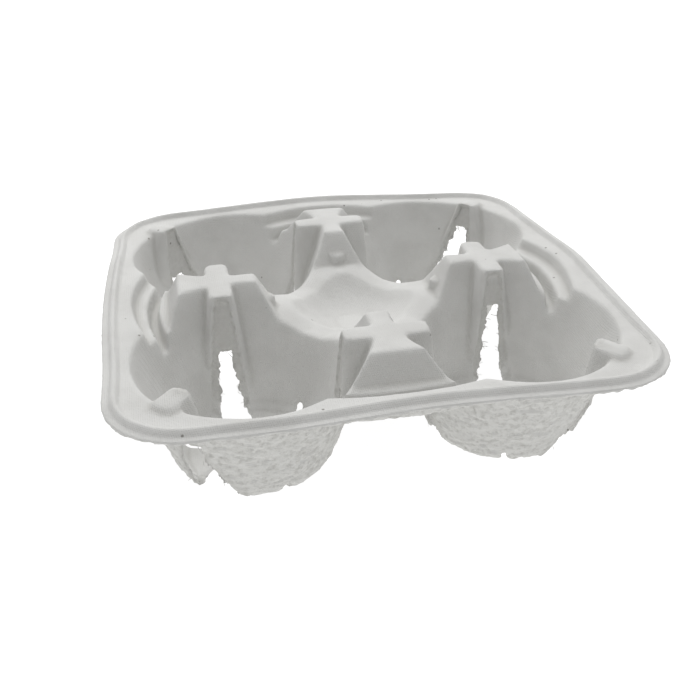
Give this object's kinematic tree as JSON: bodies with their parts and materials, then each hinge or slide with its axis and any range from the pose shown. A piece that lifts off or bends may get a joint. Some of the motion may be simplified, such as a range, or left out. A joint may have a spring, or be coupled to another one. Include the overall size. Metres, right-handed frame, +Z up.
{
  "type": "moulded pulp cup carrier",
  "caption": "Square moulded pulp cup carrier: conical cup pockets round a raised centre, gripping posts, and torn pulp webs.",
  "frame": {"origin": "centre of the tray at the level of the surface it stands on", "axes": "+Z up, out of the cup pockets; +X and +Y along the sides of the square, and -Y is the side turned to the viewer"},
  "size_m": [0.2146, 0.2146, 0.0542],
  "materials": {
    "pulp": "matte"
  },
  "bodies": {
    "root": {"tray": "pulp"}
  },
  "joints": []
}
